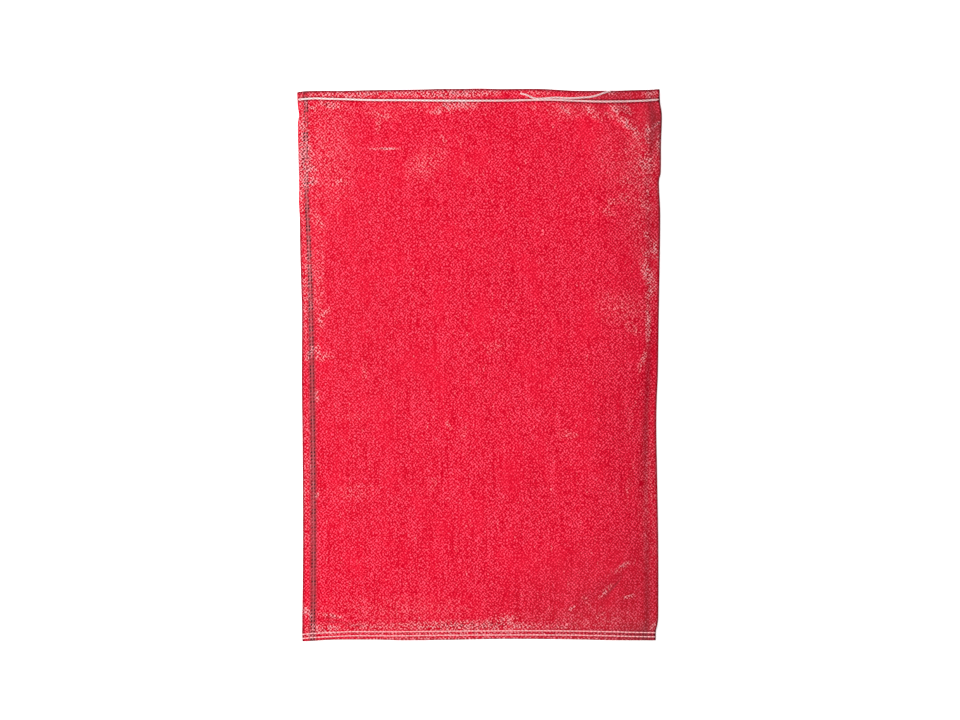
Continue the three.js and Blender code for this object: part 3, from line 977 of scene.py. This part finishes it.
# Painted shade on the folds' edges and in the dips beside the stitches, where the cloth turns from the lamps
# or lies in a groove's shadow.
edge_and_dip_shading = attribute(tree, "painted_edge_shade")
for amount in (
    dip(from_mouth, SEAM_DIP, mouth_dip_shade, STITCH),
    dip(from_bottom, 0.0, bottom_dip_shade, BOTTOM_STITCH),
    dip(from_bottom, ROW_GAP / 2 + SEAM_DIP, outer_dip_shade, BOTTOM_STITCH),
):
    edge_and_dip_shading = maths(tree, "ADD", edge_and_dip_shading, amount)
colour = blend(tree, edge_and_dip_shading, colour, EDGE_AND_DIP_SHADE)
roughness = total(tree, ROUGHNESS, (crossing_tone, ROUGHNESS_SPREAD))
lean_tone = minus(tree, scatter(tree, warp_tape, weft_tape, seed=4.0), 0.5)
lean = times(tree, across_warp, lean_tone)
normal = emboss(tree, total(tree, tape_height, (lean, TAPE_LEAN)), TAPE_RELIEF, strength=1.0)
fill(shader, {"Base Color": colour, "Roughness": roughness, "Specular IOR Level": GLOSS, "Normal": normal})
cloth.data.materials.append(woven)

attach(cloth, "root")
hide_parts("sack_cloth")


# The stitching round the mouth
# One row of white chain stitch through the hem. The machine's looper leaves a chain of thread
# loops on the outside, and the row runs right round the tube.
THREAD = 0.0013
LINK_WIDTH = 0.0038
LINK_OVERLAP = 1.3
LINK_WAIST = 0.55  # width of a loop's narrow end, as a share of its wide end
LINK_TILT = 0.2  # of the thread, by which a loop's end lies higher or lower
LINK_STEPS = 14
THREAD_SIDES = 6
MOUTH_ROW = 0.983
MOUTH_ROW_INSET = 0.0015  # from the side folds
UP = Vector((0, 0, 1))
OUTER = DEPTH - SHEET / 2  # depth of the cloth's outer face in the wall
SIT = 0.3 * THREAD  # a stitch's middle over the cloth
SUNK = -0.0002  # and under the sack, where it is pressed into the cloth
FIBRE = 0.0011
FIBRE_RELIEF = 0.0002
DULL_THREAD = (0.84, 0.80, 0.79, 1)
CLEAN_THREAD = (0.95, 0.93, 0.92, 1)
STAINED_THREAD = (0.93, 0.43, 0.45, 1)  # the red rubs off on the thread, most of all at the bottom
STAIN = dict(right=0.46, bottom=0.95)
white_thread, tree, shader = new_material("white_sewing_thread")
thread_place = add_node(tree, "TexCoord", {})["Object"]
fibres = clouds(tree, thread_place, FIBRE, FIBRE, detail=2.0)
thread_x, thread_y, _ = axes(tree, thread_place)
right_stain = fade(tree, thread_x, start=-0.05, end=0.06, first=0.0, last=STAIN["right"])
bottom_stain = fade(tree, thread_y, start=BOTTOM + 0.04, end=BOTTOM + 0.08, first=STAIN["bottom"], last=0.0)
stain = maths(tree, "MAXIMUM", right_stain, bottom_stain)
thread_white = blend(tree, fibres, DULL_THREAD, CLEAN_THREAD)
thread_colour = blend(tree, stain, thread_white, STAINED_THREAD)
normal = emboss(tree, fibres, FIBRE_RELIEF, strength=0.5)
fill(shader, {"Base Color": thread_colour, "Roughness": 0.75, "Normal": normal})


def chain_link(length):
    """One loop of the chain, along +X from the origin: a ring of thread drawn out to a teardrop."""
    ring = bmesh.new()
    reach = length / 2
    bmesh.ops.create_circle(ring, segments=THREAD_SIDES, radius=THREAD / 2)
    bmesh.ops.rotate(ring, verts=ring.verts, matrix=Matrix.Rotation(math.pi / 2, 3, "X"))
    bmesh.ops.translate(ring, verts=ring.verts, vec=(reach, 0, 0))
    bmesh.ops.spin(ring, geom=ring.verts[:] + ring.edges[:], axis=(0, 0, 1), cent=(0, 0, 0),
                   steps=LINK_STEPS, angle=2 * math.pi, use_merge=True)
    bmesh.ops.recalc_face_normals(ring, faces=ring.faces)
    for vert in ring.verts:
        angle = math.atan2(vert.co.y, vert.co.x)
        centre = Vector((reach * math.cos(angle), reach * math.sin(angle), 0))
        waist = lerp(LINK_WAIST, 1.0, 0.5 - 0.5 * math.cos(angle))
        drawn = Vector((reach * math.cos(angle), 0.5 * (LINK_WIDTH - THREAD) * waist * math.sin(angle), 0))
        drawn.z = LINK_TILT * THREAD * math.cos(angle)
        vert.co = vert.co - centre + drawn
    return ring


def sew(name, stitch, matrices):
    """One piece made of a stitch repeated at each place."""
    pattern = keep_mesh(name + "_stitch", stitch)
    row = bmesh.new()
    for matrix in matrices:
        first = len(row.verts)
        row.from_mesh(pattern)
        row.verts.ensure_lookup_table()
        bmesh.ops.transform(row, matrix=matrix, verts=row.verts[first:])
    bpy.data.meshes.remove(pattern)
    piece = add_object(name, keep_mesh(name, row))
    piece.data.materials.append(white_thread)
    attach(piece, "root")
    return piece


def stitch_ends(first, last, stitch, inset):
    """The two ends, across the sack, of each stitch of a row."""
    count = round((last - first) / stitch)
    places = [lerp(first + inset, last - inset, i / count) for i in range(count + 1)]
    return list(zip(places, places[1:]))


def standing_on(point, ahead, outward):
    """The place of a stitch that runs towards the next point, with its back to the cloth."""
    run = (ahead - point).normalized()
    side = outward.cross(run).normalized()
    up = run.cross(side)
    return Matrix.Translation(0.5 * (point + ahead)) @ Matrix((run, side, up)).transposed().to_4x4()


def front_place(x, height, above):
    """A point over the front of the cloth, at a height up the sack."""
    along = row_at(x, height)
    left, right = left_side(along), right_side(along)
    return tube_point("front", clamp((x - left) / (right - left)), along, 0.0, OUTER - above)


def back_place(x, height, below):
    """A point under the back of the cloth, at a height up the sack."""
    return place(x, row_at(x, height), 0.0, OUTER - below)


mouth_front = []
mouth_back = []
first, last = left_side(MOUTH_ROW) + MOUTH_ROW_INSET, right_side(MOUTH_ROW) - MOUTH_ROW_INSET
for ends in stitch_ends(first, last, STITCH, inset=0.0):
    mouth_front.append(standing_on(*(front_place(x, mouth_seam(x), SIT) for x in ends), UP))
    mouth_back.append(standing_on(*(back_place(x, mouth_seam(x), SUNK) for x in ends), -UP))
mouth_stitching = sew("mouth_stitching", chain_link(LINK_OVERLAP * STITCH), mouth_front + mouth_back)


# The overlap of the mouth's seam
# Where the row meets its own start, the machine sews on over it for a hand's width and then runs
# off the edge of the mouth.
OVERLAP = table("across height", [
    (0.075, 0.9908),
    (0.085, 0.9886),
    (0.098, 0.9825),
    (0.110, 0.9816),
    (0.137, 0.9836),
    (0.162, 0.9825),
    (0.183, 0.9835),
    (0.200, 0.9846),
    (0.214, 0.9877),
    (0.225, 0.9919),
    (0.239, 0.9962),
])
overlap_seam = curve(OVERLAP, "across", "height")
OVER = 2 * SIT
overlap = []
for ends in stitch_ends(OVERLAP[0]["across"], OVERLAP[-1]["across"], STITCH, inset=0.0):
    overlap.append(standing_on(*(front_place(x, overlap_seam(x), OVER) for x in ends), UP))
seam_overlap = sew("mouth_seam_overlap", chain_link(LINK_OVERLAP * STITCH), overlap)


# The stitching along the bottom
# Two rows through the four layers of the turned bottom. The needle's side, with one thread lying
# from hole to hole, is on the front, and the looper's chain is under the sack.
BOTTOM_THREAD = 0.0021
BOTTOM_BOW = 0.0011
BOTTOM_ROW = 0.01
BOTTOM_ROW_INSET = 0.001
NEEDLE_REACH = 0.93  # of a stitch, that the thread shows
NEEDLE_STEPS = 7


def needle_stitch(length):
    """One thread from hole to hole, bowed up out of the cloth."""
    radius = (length * length / 4 + BOTTOM_BOW * BOTTOM_BOW) / (2 * BOTTOM_BOW)
    angle = 2 * math.asin(length / 2 / radius)
    thread = bmesh.new()
    bmesh.ops.create_circle(thread, segments=THREAD_SIDES, radius=BOTTOM_THREAD / 2, cap_ends=True)
    bmesh.ops.rotate(thread, verts=thread.verts, matrix=Matrix.Rotation(math.pi / 2, 3, "Y"))
    bmesh.ops.translate(thread, verts=thread.verts, vec=(0, 0, radius))
    bmesh.ops.rotate(thread, verts=thread.verts, matrix=Matrix.Rotation(-angle / 2, 3, "Y"))
    bmesh.ops.spin(thread, geom=thread.verts[:] + thread.edges[:] + thread.faces[:], axis=(0, 1, 0),
                   cent=(0, 0, 0), steps=NEEDLE_STEPS, angle=angle)
    bmesh.ops.translate(thread, verts=thread.verts, vec=(0, 0, -radius))
    bmesh.ops.recalc_face_normals(thread, faces=thread.faces)
    return thread


bottom_front = []
bottom_under = []
outside = TURNED_LAYERS - OUTER
bottom_ends = stitch_ends(left_side(BOTTOM_ROW), right_side(BOTTOM_ROW), BOTTOM_STITCH, BOTTOM_ROW_INSET)
for lower in (0.0, ROW_GAP):
    for ends in bottom_ends:
        spots = [(x, row_at(x, bottom_seam(x) - lower)) for x in ends]
        bottom_front.append(standing_on(*(place(x, along, 0.0, outside + SIT) for x, along in spots), UP))
        bottom_under.append(
            standing_on(*(place(x, along, math.pi, outside + SUNK) for x, along in spots), -UP))
bottom_stitching = sew("bottom_stitching", needle_stitch(NEEDLE_REACH * BOTTOM_STITCH), bottom_front)
bottom_chain = sew("bottom_chain", chain_link(LINK_OVERLAP * BOTTOM_STITCH), bottom_under)


# The floor, the light and the camera
# A plain white floor, four soft lamps round it, the one on the left the strongest, and a long
# lens straight above the sack with its mouth at the top of the picture.
FLOOR_SIZE = 24.0
FLOOR_WHITE = (0.97, 0.97, 0.97, 1)
WHITE_LIGHT = (1, 1, 1, 1)
FLOOR_GLOW = 0.60
ROOM_LIGHT = 0.17
floor_shape = bmesh.new()
bmesh.ops.create_grid(floor_shape, x_segments=1, y_segments=1, size=FLOOR_SIZE / 2)
floor = add_object("floor", keep_mesh("floor", floor_shape))
floor_white, tree, shader = new_material("floor_white")
fill(shader, {
    "Base Color": FLOOR_WHITE,
    "Roughness": 0.9,
    "Specular IOR Level": 0.0,
    "Emission Color": WHITE_LIGHT,
    "Emission Strength": FLOOR_GLOW,
})
floor.data.materials.append(floor_white)

# A lamp's light is what it would give a level surface under the middle of the sack.
LAMPS = table("name place size light", [
    ("left_lamp", (-6.6, 0.6, 3.4), 3.2, 0.76),
    ("mouth_lamp", (-0.4, 6.0, 4.4), 3.0, 0.17),
    ("bottom_lamp", (-0.4, -6.0, 4.4), 3.0, 0.11),
    ("right_lamp", (6.0, 0.0, 4.8), 3.0, 0.04),
])
for row in LAMPS:
    lamp = bpy.data.lights.new(row["name"], "AREA")
    lamp.size = row["size"]
    spot = Vector(row["place"])
    lamp.energy = row["light"] * math.pi ** 2 * spot.length ** 3 / spot.z
    holder = add_object(row["name"], lamp)
    holder.location = spot
    holder.rotation_euler = (-spot).to_track_quat("-Z", "Y").to_euler()

world = bpy.data.worlds.new("studio")
world.use_nodes = True
fill(world.node_tree.nodes["Background"], {"Color": WHITE_LIGHT, "Strength": ROOM_LIGHT})
bpy.context.scene.world = world
bpy.context.scene.view_settings.view_transform = "Standard"

PICTURE_WIDTH = 960  # in pixels
METRES_PER_PIXEL = 0.001814
LENS = 85.0
SENSOR = 36.0
CENTRE_ACROSS = 0.0002  # the picture's middle, on the sack
CENTRE_HEIGHT = 0.5091
EDGE_HEIGHT = 0.002  # of the outline over the floor, where that scale holds
camera_data = bpy.data.cameras.new("camera")
camera_data.lens = LENS
camera_data.sensor_width = SENSOR
camera = add_object("camera", camera_data)
distance = PICTURE_WIDTH * METRES_PER_PIXEL * LENS / SENSOR
camera.location = (ACROSS + CENTRE_ACROSS, BOTTOM + CENTRE_HEIGHT, EDGE_HEIGHT + distance)
bpy.context.scene.camera = camera
